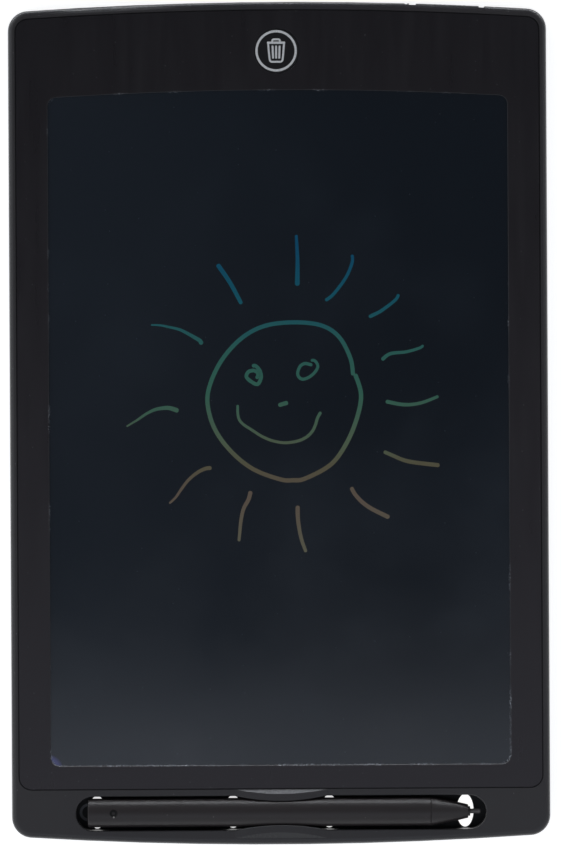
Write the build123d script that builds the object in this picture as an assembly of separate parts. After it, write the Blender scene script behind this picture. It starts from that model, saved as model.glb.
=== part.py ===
from build123d import *
import os
from math import asin, cos, degrees, radians, sin, sqrt, tan

# An LCD writing tablet lying on its back: X runs across, Y runs up the screen, Z is the front.
# The origin is under the middle of the back. Lengths are millimetres, angles are degrees.

# Whole body
body_w = 145.0
body_h = 227.0  # between the crowns of the two bowed ends
body_t = 7.0
end_bow = 2.5  # how far a bowed end stands past its corners
corner_r = 5.5
front_edge_r = 1.5
back_edge_r = 1.2

# Shells
cover_rise = 1.4  # from the inside of the floor up to the parting plane
wall_t = 1.6
floor_t = 1.2
plate_t = 1.0
seam_chamfer = 0.2
tongue_t = 0.8
tongue_h = 1.0
tongue_fit = 0.1
rib_t = 1.0
rib_gap = 0.1
rib_x_shares = (-0.24, 0.0, 0.24)
rib_y_shares = (-0.36, -0.2, -0.04, 0.12, 0.26)

# Bezel sheet and its recess
recess_side = 1.85
recess_end = 2.1
recess_foot = 14.95  # from the lower crown up to the recess
recess_r = 3.6
sheet_gap = 0.2
sheet_t = 0.4
sheet_drop = 0.05
sheet_edge = 0.12
tape_t = 0.1
tape_margin = 0.4

# Window and screen film
window_side = 10.6
window_end = 23.8
window_foot = 21.5
window_r = 2.4
film_lap = 2.0
film_t = 0.35
backing_t = 0.2
film_gap = 0.15
film_r = 3.0

# Film tail to the board
tail_share = 0.403  # of the board's width
tail_w = 6.0
tail_t = 0.15
tail_foot = 4.0
tail_play = 0.5

# Stylus slot
slot_l = 110.5
slot_w = 9.16
slot_foot = 8.6  # from the lower crown up to the slot's middle
slot_floor_t = 1.3
slot_edge_r = 0.3
skirt_t = 1.0
skirt_gap = 0.1
lip_l = 24.8
lip_gap = 6.44
lip_t = 1.6
lip_band = 1.95
crest_h = 1.0
crest_foot = 1.63
oval_w = 4.6
oval_l = 8.9
oval_near = 13.0
oval_end = 5.55  # from the slot's end to the outer oval's middle
dimple_end = 3.18
dimple_r = 2.4
dimple_rim = 0.65
dimple_depth = 0.3

# Stylus
pen_side_room = 0.7
pen_shift = 0.12  # how far above the slot's middle line the stylus lies
pen_tail_room = 3.25
pen_tip_room = 1.55
pen_rest = 0.1
nose_l = 10.1
nose_r = 1.8
nose_bulge = 0.12
collar_r = 1.28
collar_l = 0.5
nib_l = 3.3
nib_r = 0.65
nib_tip_r = 0.45
nib_root = 5.0
pen_bore_r = 2.6
pen_fit = 0.02
spigot_l = 5.0
plug_l = 4.0
pen_edge = 0.3
seam_groove = 0.12
scallop_room = 0.12
mark_end = 6.8
mark_r = 0.85
mark_depth = 0.3
mark_rim = 0.15
mark_nub_r = 0.35
mark_nub_h = 0.12

# Erase button
button_foot = 13.3  # from the upper crown down to the button's middle
button_r = 5.9
button_gap = 0.12
button_rim = 0.15
button_flange = 1.1
button_flange_t = 0.4
button_flange_gap = 0.1
button_travel = 0.3
button_nub_r = 1.2
button_nub_h = 0.1
dome_room = 0.05
band_plate_t = 1.1
band_margin = 0.5

# Board and what it carries
board_left = -14.0
board_past = 12.05  # from the slider's middle to the board's right end
board_l = 15.0
board_end = 5.2  # from the upper crown down to the board
board_t = 0.8
board_rise = 0.4  # from the parting plane up to the board's face
board_r = 1.0
post_r = 1.8
post_place_shares = ((0.05, 0.78), (0.52, 0.167), (0.95, 0.213))
board_screw_r = 0.6
board_screw_head_r = 1.3
board_screw_head_h = 0.6
board_screw_l = 2.0
board_hole_r = 0.9
screw_fit = 0.05
screw_cross_t = 0.3
screw_cross_depth = 0.3
chip_shares = (0.396, 0.62)
chip_w = 5.0
chip_l = 4.4
chip_h = 1.0
lead_w = 0.35
lead_pitch = 1.0
lead_count = 4
lead_reach = 0.7
lead_t = 0.2
coil_shares = (0.535, 0.58)
coil_w = 4.0
coil_h = 1.6
coil_corner = 1.0
capacitor_w = 1.6
capacitor_l = 0.8
capacitor_h = 0.8
capacitor_place_shares = ((0.31, 0.31), (0.47, 0.82), (0.6, 0.77), (0.65, 0.35))

# Push switch under the button
switch_w = 5.2
switch_h = 1.3
switch_wall = 0.3
plunger_r = 1.5
plunger_fit = 0.08
dome_t = 0.1
dome_margin = 0.4
plunger_foot_r = 1.9

# Lock slider in the upper edge
slider_side = 26.55  # from the tablet's right side to the slider's middle
slider_l = 16.9
slider_travel = 1.7
slider_recess_l = 20.3
slider_recess_shift = -0.15
slider_recess_depth = 0.45
notch_left = 11.15  # from the slider's middle to the notch on its left
notch_left_w = 0.6
notch_left_depth = 0.35
notch_right = 12.6
notch_right_w = 0.35
notch_right_depth = 0.2
slider_skin_gap = 0.1
slider_back_margin = 0.1
slider_front_margin = 0.1
slider_groove_w = 0.5
slider_groove_depth = 0.12
slider_groove_pitch = 1.3
slider_grooves = 9
stem_l = 8.0
stem_h = 1.0
stem_play = 0.2
keeper_l = 11.0
keeper_t = 0.6
keeper_rise = 0.3
keeper_lip_low = 0.3
keeper_lip_high = 0.6
keeper_gap = 0.1
fork_w = 4.0
fork_l = 1.7
lever_w = 1.2
lever_fit = 0.05
lever_t = 0.6
lever_l = 3.4
slide_switch_depth = 4.4
slide_switch_w = 8.8
slide_switch_l = 2.6
slide_switch_h = 1.4
slide_switch_play = 0.15

# Cell, its bay and contacts
cell_x = -32.0
cell_end = 18.0  # from the upper crown down to the cell's middle
cell_r = 10.0
cell_h = 2.5
cell_cap_r = 8.9
cell_cap_h = 0.25
bay_gap = 0.3
bay_wall = 1.0
bay_rise = 0.25
contact_w = 3.0
contact_t = 0.2
contact_gap = 0.05
contact_pad = 2.4
contact_lift = 0.1
contact_shift = 5.0
contact_dip = 1.5
contact_notch = 0.4
contact_drop = 1.2

# Door on the back
door_w = 26.0
door_l = 33.0
door_t = 1.05
door_r = 3.0
door_shift = -3.5
door_gap = 0.15
door_drop = 0.05
shelf_t = 0.95
shelf_margin = 1.8
door_screw_shift = -16.0
door_screw_r = 0.8
door_screw_head_r = 1.75
door_screw_head_h = 0.5
door_screw_l = 3.2
door_post_r = 2.2
door_post_gap = 0.2

overrun = 1.0  # how far a cutting shape passes through what it cuts

# Worked out from the sizes above
crown_y = body_h / 2
end_r = ((body_w / 2) ** 2 + end_bow ** 2) / (2 * end_bow)
parting_z = floor_t + cover_rise
slot_y = slot_foot - crown_y
recess_y = recess_foot - crown_y
window_y = window_foot - crown_y
button_y = crown_y - button_foot
sheet_top = body_t - sheet_drop
film_top = sheet_top - sheet_t
ledge_z = film_top - tape_t
backing_top = film_top - film_t
tape_top = backing_top - backing_t
pocket_z = tape_top - tape_t
plate_z = pocket_z - plate_t
band_plate_z = ledge_z - band_plate_t
band_foot = crown_y - window_end + film_lap + film_gap + band_margin
cover_wall_t = wall_t + tongue_fit + tongue_t
board_top = parting_z + board_rise
board_z = board_top - board_t
slider_x = body_w / 2 - slider_side
board_w = slider_x + board_past - board_left
tail_x = board_left + board_w * tail_share
board_head = crown_y - board_end
board_foot = board_head - board_l
pen_r = slot_w / 2 - pen_side_room
pen_y = slot_y + pen_shift
pen_z = slot_floor_t + pen_rest + pen_r
pen_tail = pen_tail_room - slot_l / 2
pen_tip = slot_l / 2 - pen_tip_room
nose_end = pen_tip - nib_l
pen_seam = nose_end - nose_l
oval_far = slot_l / 2 - oval_end
slider_low = back_edge_r + slider_back_margin
slider_high = body_t - slider_front_margin
keeper_low = parting_z + keeper_rise
stem_low = keeper_low + keeper_lip_low
stem_high = stem_low + stem_h
keeper_high = stem_high + keeper_lip_high
lever_low = stem_low + (stem_h - lever_t) / 2
lever_high = lever_low + lever_t
lip_rise = (slot_w - lip_gap) / 2
lip_r = ((lip_l / 2) ** 2 + lip_rise ** 2) / (2 * lip_rise)
shelf_z = door_drop + door_t + door_drop
cell_z = shelf_z + contact_gap
cell_y = crown_y - cell_end
cell_top = cell_z + cell_h
bay_top = cell_top + bay_rise
contact_upper_z = bay_top + contact_lift
door_post_top = plate_z - door_post_gap


def end_height(x, inset):
    # Height of the bowed upper edge at x, moved in by inset
    return crown_y - end_r + sqrt((end_r - inset) ** 2 - x ** 2)


def outline(side, end, radius, foot_y=None):
    # The tablet's outline moved in by side and end, with a bowed foot or a straight one at foot_y
    half = body_w / 2 - side
    head = end_height(half, end)
    crown = crown_y - end
    low = -head if foot_y is None else foot_y
    foot = Line((half, low), (-half, low))
    if foot_y is None:
        foot = ThreePointArc((half, low), (0, -crown), (-half, low))
    edges = [
        ThreePointArc((-half, head), (0, crown), (half, head)),
        Line((half, head), (half, low)),
        foot,
        Line((-half, low), (-half, head)),
    ]
    face = make_face(edges)
    return fillet(face.vertices(), radius)


def slab(face, low, high):
    return Pos(0, 0, low) * extrude(face, high - low)


def block(x_low, x_high, y_low, y_high, z_low, z_high):
    size = Box(x_high - x_low, y_high - y_low, z_high - z_low, align=(Align.MIN, Align.MIN, Align.MIN))
    return Pos(x_low, y_low, z_low) * size


def post(x, y, radius, low, high):
    return Pos(x, y, low) * Cylinder(radius, high - low, align=(Align.CENTER, Align.CENTER, Align.MIN))


def on_board(shares):
    # A place on the board from its shares of the board's width and length
    return board_left + board_w * shares[0], board_foot + board_l * shares[1]


def body_blank():
    # The whole tablet as one rounded block
    blank = slab(outline(0, 0, corner_r), 0, body_t)
    ends = blank.faces().sort_by(Axis.Z)
    blank = fillet(ends[-1].edges(), front_edge_r)
    return fillet(blank.faces().sort_by(Axis.Z)[0].edges(), back_edge_r)


def stadium(grow):
    return Pos(0, slot_y) * SlotOverall(slot_l + 2 * grow, slot_w + 2 * grow)


def slider_frame():
    # A place on the upper edge at the slider, with X along the edge and Y pointing outwards
    turn = degrees(asin(slider_x / end_r))
    return Location((slider_x, end_height(slider_x, 0), 0), (0, 0, -turn))


def slider_box(u_low, u_high, depth_low, depth_high, z_low, z_high):
    # A box in the slider's own frame, where depth is measured inwards from the edge
    return slider_frame() * block(u_low, u_high, -depth_high, -depth_low, z_low, z_high)


def slider_recess():
    # The shallow recess in the upper edge that the slider runs in
    middle = slider_recess_shift
    half = slider_recess_l / 2
    zone = slider_box(middle - half, middle + half, -overrun, 2 * overrun, -overrun, body_t + overrun)
    inset = slider_recess_depth
    return zone - slab(outline(inset, inset, corner_r - inset), -2 * overrun, body_t + 2 * overrun)


def bezel_face(grow):
    # The bezel sheet's outline, grown by a clearance
    side = recess_side + sheet_gap - grow
    end = recess_end + sheet_gap - grow
    return outline(side, end, recess_r - sheet_gap + grow, recess_y + sheet_gap - grow)


def film_face(grow):
    side = window_side - film_lap - grow
    end = window_end - film_lap - grow
    return outline(side, end, film_r + grow, window_y - film_lap - grow)


def lip_circles(grow):
    # The two large circles whose edges shape the lips, upper first
    rise = lip_gap / 2 + lip_r
    return [Pos(0, slot_y + side * rise) * Circle(lip_r + grow) for side in (1, -1)]


def lip_arch():
    # The low arch over the middle of the slot, with a straight foot on each side of it
    low = body_t - lip_t
    high = crest_h + overrun
    half = lip_l / 2
    arch = make_face([
        ThreePointArc((-half, body_t), (0, body_t + crest_h), (half, body_t)),
        Line((half, body_t), (half, low)),
        Line((half, low), (-half, low)),
        Line((-half, low), (-half, body_t)),
    ])
    ridge = lip_gap / 2 + lip_band
    upper_w = recess_y - slot_y - ridge
    lower_y = slot_y - ridge - crest_foot
    roof = make_face(Polyline(
        (recess_y, low),
        (recess_y, body_t),
        (recess_y - upper_w * high / crest_h, body_t + high),
        (lower_y + crest_foot * high / crest_h, body_t + high),
        (lower_y, body_t),
        (lower_y, low),
        close=True,
    ))
    span = Plane.XZ.offset(-recess_y) * extrude(arch, recess_y - lower_y)
    return span & Plane.YZ.offset(-half) * extrude(roof, lip_l)


def slot_room():
    # The slot's clear room: its full width below, and narrower between the lips
    high = body_t + crest_h + overrun
    room = slab(stadium(0), 0, high)
    for circle in lip_circles(0):
        room -= slab(stadium(0) & circle, body_t - lip_t, high)
    return room


def raised_lips():
    # The lips rise above the front along a low arch, and their crests are rounded over
    lips = lip_arch() - slot_room()
    crests = lips.edges().filter_by_position(Axis.Z, body_t + crest_h / 2, body_t + 2 * crest_h)
    reach = lip_gap / 2 + slot_edge_r
    crests = crests.filter_by_position(Axis.Y, slot_y - reach, slot_y + reach)
    return fillet(crests, slot_edge_r)


def slider_notches():
    # Short cuts across the upper edge on both sides of the slider's recess
    half = notch_left_w / 2
    cuts = slider_box(-notch_left - half, -notch_left + half, -overrun, notch_left_depth,
                      parting_z, body_t + overrun)
    half = notch_right_w / 2
    return cuts + slider_box(notch_right - half, notch_right + half, -overrun, notch_right_depth,
                             parting_z, body_t + overrun)


def front_frame():
    shell = body_blank() & block(-body_w, body_w, -body_h, body_h, parting_z, body_t + overrun)
    inner = outline(wall_t, wall_t, corner_r - wall_t)
    shell -= slab(inner, parting_z - overrun, plate_z)
    band = block(-body_w, body_w, band_foot, body_h, parting_z, band_plate_z)
    shell -= band & slab(inner, parting_z, band_plate_z)
    shell += slab(stadium(skirt_t), slot_floor_t, plate_z + overrun)
    shell -= slab(stadium(0), 0, body_t + overrun)
    mouth = shell.edges().filter_by_position(Axis.Z, body_t - slot_edge_r / 2, body_t + overrun)
    reach = slot_w / 2 + slot_edge_r
    mouth = mouth.filter_by_position(Axis.Y, slot_y - reach, slot_y + reach)
    shell = fillet(mouth, slot_edge_r) + raised_lips()
    shell -= slab(bezel_face(sheet_gap), ledge_z, body_t + overrun)
    shell -= slab(film_face(film_gap), pocket_z, body_t + overrun)
    shell -= tail_slit()
    shell -= post(0, button_y, button_r + button_gap, plate_z - overrun, body_t)
    shell -= slider_recess() + slider_notches()
    half = stem_l / 2 + stem_play
    shell -= slider_box(-half - slider_travel, half, 0, wall_t + overrun,
                        parting_z - overrun, stem_high + stem_play)
    return shell


def tail_slit():
    # Where the film's tail turns down through the frame's plate
    half = tail_w / 2 + tail_play
    head = end_height(tail_x, window_end - film_lap)
    return block(tail_x - half, tail_x + half, head - overrun, board_foot, plate_z - overrun, ledge_z)


def battery_pad(grow):
    face = RectangleRounded(door_w + 2 * grow, door_l + 2 * grow, door_r + grow)
    return Pos(cell_x, cell_y + door_shift) * face


def rear_cover():
    cover = body_blank() & block(-body_w, body_w, -body_h, body_h, -overrun, parting_z)
    edge = cover.faces().sort_by(Axis.Z)[-1].edges()
    cover = chamfer(edge, seam_chamfer)
    inset = cover_wall_t
    cavity = outline(inset, inset, corner_r - inset)
    cover -= slab(cavity, floor_t, parting_z + overrun)
    inset = wall_t + tongue_fit
    tongue = slab(outline(inset, inset, corner_r - inset), floor_t, parting_z + tongue_h)
    cover += tongue - slab(cavity, 0, body_t)
    cover += cover_ribs()
    cover += slab(battery_pad(shelf_margin), floor_t / 2, shelf_z + shelf_t) & slab(cavity, 0, body_t)
    cover += post(cell_x, cell_y, cell_r + bay_gap + bay_wall, floor_t, bay_top) & slab(cavity, 0, body_t)
    door_screw_y = cell_y + door_screw_shift
    cover += post(cell_x, door_screw_y, door_post_r, shelf_z, door_post_top)
    for place in post_place_shares:
        x, y = on_board(place)
        cover += post(x, y, post_r, floor_t / 2, board_z)
        pilot_z = board_top - board_screw_l - screw_fit
        cover -= post(x, y, board_screw_r + screw_fit, pilot_z, board_z + overrun)
    cover -= post(cell_x, cell_y, cell_r + bay_gap, 0, bay_top + overrun)
    cover -= slab(battery_pad(door_gap), -overrun, shelf_z)
    cover -= post(cell_x, door_screw_y, door_screw_r + screw_fit, 0, door_post_top + overrun)
    cover -= contact_notches()
    cover += slab(stadium(skirt_t + skirt_gap), floor_t / 2, slot_floor_t)
    cover -= slab(stadium(skirt_t + skirt_gap), slot_floor_t, body_t)
    cover -= slot_floor_cuts()
    cover -= slider_recess()
    half = slider_recess_l / 2 + overrun
    middle = slider_recess_shift
    cover -= slider_box(middle - half, middle + half, wall_t, cover_wall_t + overrun, parting_z, body_t)
    return cover


def cover_ribs():
    # A grid of ribs that carries the writing surface
    top = plate_z - rib_gap
    low = window_y
    high = body_h * rib_y_shares[-1] + rib_t
    inset = wall_t + tongue_fit
    half = body_w / 2 - inset
    ribs = None
    for share in rib_x_shares:
        x = body_w * share
        rib = block(x - rib_t / 2, x + rib_t / 2, low, high, floor_t / 2, top)
        ribs = rib if ribs is None else ribs + rib
    for share in rib_y_shares:
        y = body_h * share
        ribs += block(-half, half, y - rib_t / 2, y + rib_t / 2, floor_t / 2, top)
    return ribs


def contact_notches():
    # Gaps in the bay's wall for the contact that touches the side of the cell
    half = contact_w / 2 + contact_notch
    outer = cell_x + cell_r + bay_gap + bay_wall + overrun
    return block(cell_x + cell_r - overrun, outer, cell_y - half, cell_y + half,
                 shelf_z + shelf_t / 2, bay_top + overrun)


def slot_floor_cuts():
    # The four oval holes and the round dimple under the stylus's tail
    cuts = None
    for x in (-oval_far, -oval_near, oval_near, oval_far):
        hole = slab(Pos(x, slot_y) * Ellipse(oval_w / 2, oval_l / 2), -overrun, slot_floor_t + overrun)
        cuts = hole if cuts is None else cuts + hole
    bowl = Cone(dimple_r - dimple_rim, dimple_r, dimple_depth, align=(Align.CENTER, Align.CENTER, Align.MIN))
    return cuts + Pos(dimple_end - slot_l / 2, slot_y, slot_floor_t - dimple_depth) * bowl


def bezel_sheet():
    sheet = slab(bezel_face(0), film_top, sheet_top)
    window = outline(window_side, window_end, window_r, window_y)
    sheet -= slab(window, film_top - overrun, sheet_top + overrun)
    sheet -= post(0, button_y, button_r + button_gap, film_top - overrun, sheet_top + overrun)
    return chamfer(sheet.faces().sort_by(Axis.Z)[-1].edges(), sheet_edge)


def bezel_adhesive():
    ring = slab(bezel_face(-tape_margin), ledge_z, film_top)
    ring -= slab(film_face(film_gap + tape_margin), 0, body_t)
    ring -= post(0, button_y, button_r + button_gap + tape_margin, 0, body_t)
    half = tail_w / 2 + tail_play
    head = end_height(tail_x, window_end - film_lap)
    return ring - block(tail_x - half, tail_x + half, head - overrun, board_foot, 0, body_t)


def lcd_film():
    return slab(film_face(0), backing_top, film_top)


def film_backing():
    return slab(film_face(0), tape_top, backing_top)


def film_tape():
    return slab(film_face(-tape_margin), pocket_z, tape_top)


def film_tail():
    # Leaves the film's upper edge, turns down through the slit and lies on the board
    head = end_height(tail_x - tail_w / 2, window_end - film_lap)
    high = backing_top + tail_t
    turn = board_foot - tail_play / 2
    profile = make_face(Polyline(
        (head, backing_top),
        (turn - tail_t, backing_top),
        (turn - tail_t, board_top),
        (board_foot + tail_foot, board_top),
        (board_foot + tail_foot, board_top + tail_t),
        (turn, board_top + tail_t),
        (turn, high),
        (head, high),
        close=True,
    ))
    return Plane.YZ.offset(tail_x - tail_w / 2) * extrude(profile, tail_w)


def circuit_board():
    centre = Pos(board_left + board_w / 2, board_foot + board_l / 2)
    board = slab(centre * RectangleRounded(board_w, board_l, board_r), board_z, board_top)
    for place in post_place_shares:
        x, y = on_board(place)
        board -= post(x, y, board_hole_r, board_z - overrun, board_top + overrun)
    return board


def screw(shank_r, shank_l, head_r, head_h):
    # A cross-headed screw pointing down, with the underside of its head at zero
    body = post(0, 0, shank_r, -shank_l, 0)
    body += post(0, 0, head_r, 0, head_h)
    body = fillet(body.faces().sort_by(Axis.Z)[-1].edges(), head_h / 3)
    half = head_r * 2 / 3
    slot = screw_cross_t / 2
    body -= block(-half, half, -slot, slot, head_h - screw_cross_depth, head_h + overrun)
    body -= block(-slot, slot, -half, half, head_h - screw_cross_depth, head_h + overrun)
    return body


def board_screws():
    one = screw(board_screw_r, board_screw_l, board_screw_head_r, board_screw_head_h)
    return [Pos(*on_board(place), board_top) * one for place in post_place_shares]


def driver_chip():
    # A small chip with a row of leads on two sides
    chip_x, chip_y = on_board(chip_shares)
    chip = Pos(chip_x, chip_y) * block(-chip_w / 2, chip_w / 2, -chip_l / 2, chip_l / 2,
                                       board_top, board_top + chip_h)
    chip = chamfer(chip.faces().sort_by(Axis.Z)[-1].edges(), lead_t / 2)
    for step in range(lead_count):
        x = chip_x + (step - (lead_count - 1) / 2) * lead_pitch
        chip += block(x - lead_w / 2, x + lead_w / 2, chip_y - chip_l / 2 - lead_reach,
                      chip_y + chip_l / 2 + lead_reach, board_top, board_top + lead_t)
    return chip


def boost_inductor():
    # A drum core with a waist for its winding
    place = Pos(*on_board(coil_shares))
    drum = RectangleRounded(coil_w, coil_w, coil_corner)
    waist = RectangleRounded(coil_w - coil_corner, coil_w - coil_corner, coil_corner / 2)
    coil = slab(place * drum, board_top, board_top + coil_h)
    return coil - slab(place * (drum - waist), board_top + coil_h / 3, board_top + 2 * coil_h / 3)


def board_capacitors():
    half_w = capacitor_w / 2
    half_l = capacitor_l / 2
    one = block(-half_w, half_w, -half_l, half_l, board_top, board_top + capacitor_h)
    return [Pos(*on_board(place)) * one for place in capacitor_place_shares]


def switch_housing():
    half = switch_w / 2
    top = board_top + switch_h
    house = block(-half, half, button_y - half, button_y + half, board_top, top)
    house -= post(0, button_y, plunger_foot_r + plunger_fit, board_top + switch_wall, top - switch_wall)
    return house - post(0, button_y, plunger_r + plunger_fit, board_top + switch_wall, top + overrun)


def plunger_low():
    # The plunger's foot stands its travel and a little more above the dome
    return board_top + switch_wall + dome_t + button_travel + dome_room


def switch_plunger():
    top = band_plate_z - button_flange_gap - button_flange_t - button_nub_h
    plunger = post(0, button_y, plunger_r, plunger_low(), top)
    return plunger + post(0, button_y, plunger_foot_r, plunger_low(),
                          board_top + switch_h - switch_wall - plunger_fit)


def switch_dome():
    low = board_top + switch_wall
    return post(0, button_y, plunger_foot_r - dome_margin, low, low + dome_t)


def erase_button():
    flange_top = band_plate_z - button_flange_gap
    flange_low = flange_top - button_flange_t
    cap = post(0, button_y, button_r, flange_low, sheet_top)
    cap = fillet(cap.faces().sort_by(Axis.Z)[-1].edges(), button_rim)
    cap += post(0, button_y, button_r + button_flange, flange_low, flange_top)
    return cap + post(0, button_y, button_nub_r, flange_low - button_nub_h, flange_low)


def lock_slider():
    half = slider_l / 2
    inset = slider_recess_depth - slider_skin_gap
    skin = body_blank() & slider_box(-half, half, -overrun, 2 * overrun, slider_low, slider_high)
    skin -= slab(outline(inset, inset, corner_r - inset), -overrun, body_t + overrun)
    for step in range(slider_grooves):
        u = (step - (slider_grooves - 1) / 2) * slider_groove_pitch
        skin -= slider_box(u - slider_groove_w / 2, u + slider_groove_w / 2,
                           -overrun, slider_groove_depth, slider_low + slider_groove_w,
                           slider_high - 2 * slider_groove_w)
    keeper_depth = wall_t + keeper_gap
    knob = skin + slider_box(-stem_l / 2, stem_l / 2, inset - slider_skin_gap, keeper_depth + keeper_t,
                             stem_low, stem_high)
    knob += slider_box(-keeper_l / 2, keeper_l / 2, keeper_depth, keeper_depth + keeper_t,
                       keeper_low, keeper_high)
    fork_low = keeper_depth + keeper_t
    fork = slider_box(-fork_w / 2, fork_w / 2, fork_low, fork_low + fork_l, stem_low, stem_high)
    half = lever_w / 2 + lever_fit
    return knob + fork - slider_box(-half, half, fork_low + lever_fit, fork_low + fork_l + overrun,
                                    stem_low - overrun, stem_high + overrun)


def lever_depth():
    return wall_t + keeper_gap + keeper_t + 2 * lever_fit


def slide_switch_lever():
    low = lever_depth()
    return slider_box(-lever_w / 2, lever_w / 2, low, low + lever_l, lever_low, lever_high)


def slide_switch_housing():
    middle = -slider_travel / 2
    half = slide_switch_w / 2
    near = slide_switch_depth
    house = slider_box(middle - half, middle + half, near, near + slide_switch_l,
                       board_top, board_top + slide_switch_h)
    play = slide_switch_play
    half = slider_travel / 2 + lever_w / 2 + play
    return house - slider_box(middle - half, middle + half, near - overrun, lever_depth() + lever_l + play,
                              lever_low - play, lever_high + play)


def coin_cell():
    can_top = cell_top - cell_cap_h
    can = post(cell_x, cell_y, cell_r, cell_z, can_top)
    can = fillet(can.edges(), cell_cap_h)
    return can + post(cell_x, cell_y, cell_cap_r, can_top, cell_top)


def bent_strip(lower, y):
    # A bent strip from the points of its lower face, with the same points raised by its thickness
    upper = [(x, z + contact_t) for x, z in reversed(lower)]
    face = make_face(Polyline(*lower, *upper, close=True))
    return Plane.XZ.offset(-y - contact_w / 2) * extrude(face, contact_w)


def contact_negative():
    # Steps up from the board, passes over the bay's wall and dips onto the middle of the cell
    step = board_left - contact_pad / 3
    rest = cell_top + contact_gap
    lower = [
        (board_left + contact_pad, board_top),
        (board_left, board_top),
        (step, contact_upper_z),
        (cell_x + contact_dip, contact_upper_z),
        (cell_x, rest),
        (cell_x - contact_dip, contact_upper_z),
    ]
    return bent_strip(lower, cell_y + contact_shift)


def contact_positive():
    # Runs from the board to the cell and turns down along its side
    near = cell_x + cell_r + contact_gap
    low = cell_y - contact_w / 2
    high = cell_y + contact_w / 2
    arm = block(near, board_left + contact_pad, low, high, board_top, board_top + contact_t)
    return arm + block(near, near + contact_t, low, high, board_top - contact_drop, board_top + contact_t)


def battery_door():
    door = slab(battery_pad(0), door_drop, door_drop + door_t)
    door = chamfer(door.faces().sort_by(Axis.Z)[0].edges(), sheet_edge)
    y = cell_y + door_screw_shift
    door -= post(cell_x, y, door_screw_head_r + screw_fit, 0, door_drop + door_screw_head_h)
    return door - post(cell_x, y, door_screw_r + screw_fit, 0, shelf_z)


def door_screw():
    one = screw(door_screw_r, door_screw_l, door_screw_head_r, door_screw_head_h)
    place = Location((cell_x, cell_y + door_screw_shift, door_drop + door_screw_head_h), (180, 0, 0))
    return place * one


def along_pen(part):
    # A shape turned about X is moved to the stylus's own axis
    return Pos(0, pen_y, pen_z) * part


def rod(radius, low, high):
    turned = Rot(0, 90, 0) * Cylinder(radius, high - low, align=(Align.CENTER, Align.CENTER, Align.MIN))
    return Pos(low, 0, 0) * turned


def stylus_barrel():
    barrel = rod(pen_r, pen_tail, pen_seam) - rod(pen_bore_r, pen_tail - overrun, pen_seam + overrun)
    rims = barrel.edges().filter_by(GeomType.CIRCLE).sort_by(Axis.X)
    outer = [edge for edge in rims if edge.radius > (pen_r + pen_bore_r) / 2]
    barrel = fillet(outer[0], pen_edge)
    rims = barrel.edges().filter_by(GeomType.CIRCLE).sort_by(Axis.X)
    outer = [edge for edge in rims if edge.radius > (pen_r + pen_bore_r) / 2]
    barrel = chamfer(outer[-1], seam_groove)
    barrel = along_pen(barrel - tail_mark())
    for circle in lip_circles(scallop_room):
        barrel -= slab(circle, 0, pen_z + pen_r + overrun)
    return barrel


def tail_mark():
    # The round mark near the stylus's tail: a shallow recess with a low nub in its middle
    x = pen_tail + mark_end
    low = pen_r - mark_depth
    hole = post(x, 0, mark_r, low, pen_r + overrun)
    nub = post(x, 0, mark_nub_r, low, low + mark_nub_h)
    rim = Cone(mark_r, mark_r + 2 * mark_rim, 2 * mark_rim, align=(Align.CENTER, Align.CENTER, Align.MIN))
    return hole - nub + Pos(x, 0, pen_r - mark_rim) * rim


def stylus_tail_plug():
    plug = rod(pen_bore_r - pen_fit, pen_tail, pen_tail + plug_l)
    plug = chamfer(plug.faces().sort_by(Axis.X)[0].edges(), pen_edge)
    return along_pen(plug)


def stylus_nose():
    middle = (pen_seam + nose_end) / 2
    profile = make_face([
        Line((pen_seam, 0), (pen_seam, pen_r - seam_groove)),
        Line((pen_seam, pen_r - seam_groove), (pen_seam + seam_groove, pen_r)),
        ThreePointArc((pen_seam + seam_groove, pen_r), (middle, (pen_r + nose_r) / 2 + nose_bulge),
                      (nose_end, nose_r)),
        Line((nose_end, nose_r), (nose_end, 0)),
        Line((nose_end, 0), (pen_seam, 0)),
    ])
    nose = revolve(profile, Axis.X)
    nose = fillet(nose.faces().sort_by(Axis.X)[-1].edges(), pen_edge)
    nose += rod(pen_bore_r - pen_fit, pen_seam - spigot_l, pen_seam)
    nose += rod(collar_r, nose_end - collar_l, nose_end + collar_l)
    return along_pen(nose - rod(nib_r + pen_fit, nose_end - nib_root, nose_end + overrun))


def stylus_nib():
    nib = rod(nib_r, nose_end - nib_root, pen_tip)
    return along_pen(fillet(nib.faces().sort_by(Axis.X)[-1].edges(), nib_tip_r))


def write(name, made):
    pieces = made if isinstance(made, list) else [made]
    solids = [solid for piece in pieces for solid in piece.solids()]
    if len(solids) == 1:
        solids[0].label = name
        export_step(solids[0], f"parts/{name}.step")
        return
    group = Compound(children=solids)
    group.label = name
    export_step(group, f"parts/{name}.step")


def main():
    os.makedirs("parts", exist_ok=True)
    makers = (
        front_frame, rear_cover, bezel_sheet, bezel_adhesive, lcd_film, film_backing, film_tape, film_tail,
        circuit_board, driver_chip, boost_inductor, board_capacitors, board_screws, switch_housing,
        switch_dome, switch_plunger, erase_button, lock_slider, slide_switch_lever, slide_switch_housing,
        coin_cell, contact_positive, contact_negative, battery_door, door_screw, stylus_barrel,
        stylus_tail_plug, stylus_nose, stylus_nib,
    )
    for make in makers:
        write(make.__name__, make())
    turn = asin(slider_x / end_r)
    print("slider runs along", -cos(turn), sin(turn))


main()
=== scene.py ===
# A pressure-sensitive writing tablet with its stylus in the tray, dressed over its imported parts.
# Metres. X runs to the right, Y up the screen, Z out of the screen, and the origin is under the back.
from math import cos, pi, radians, sin

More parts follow.
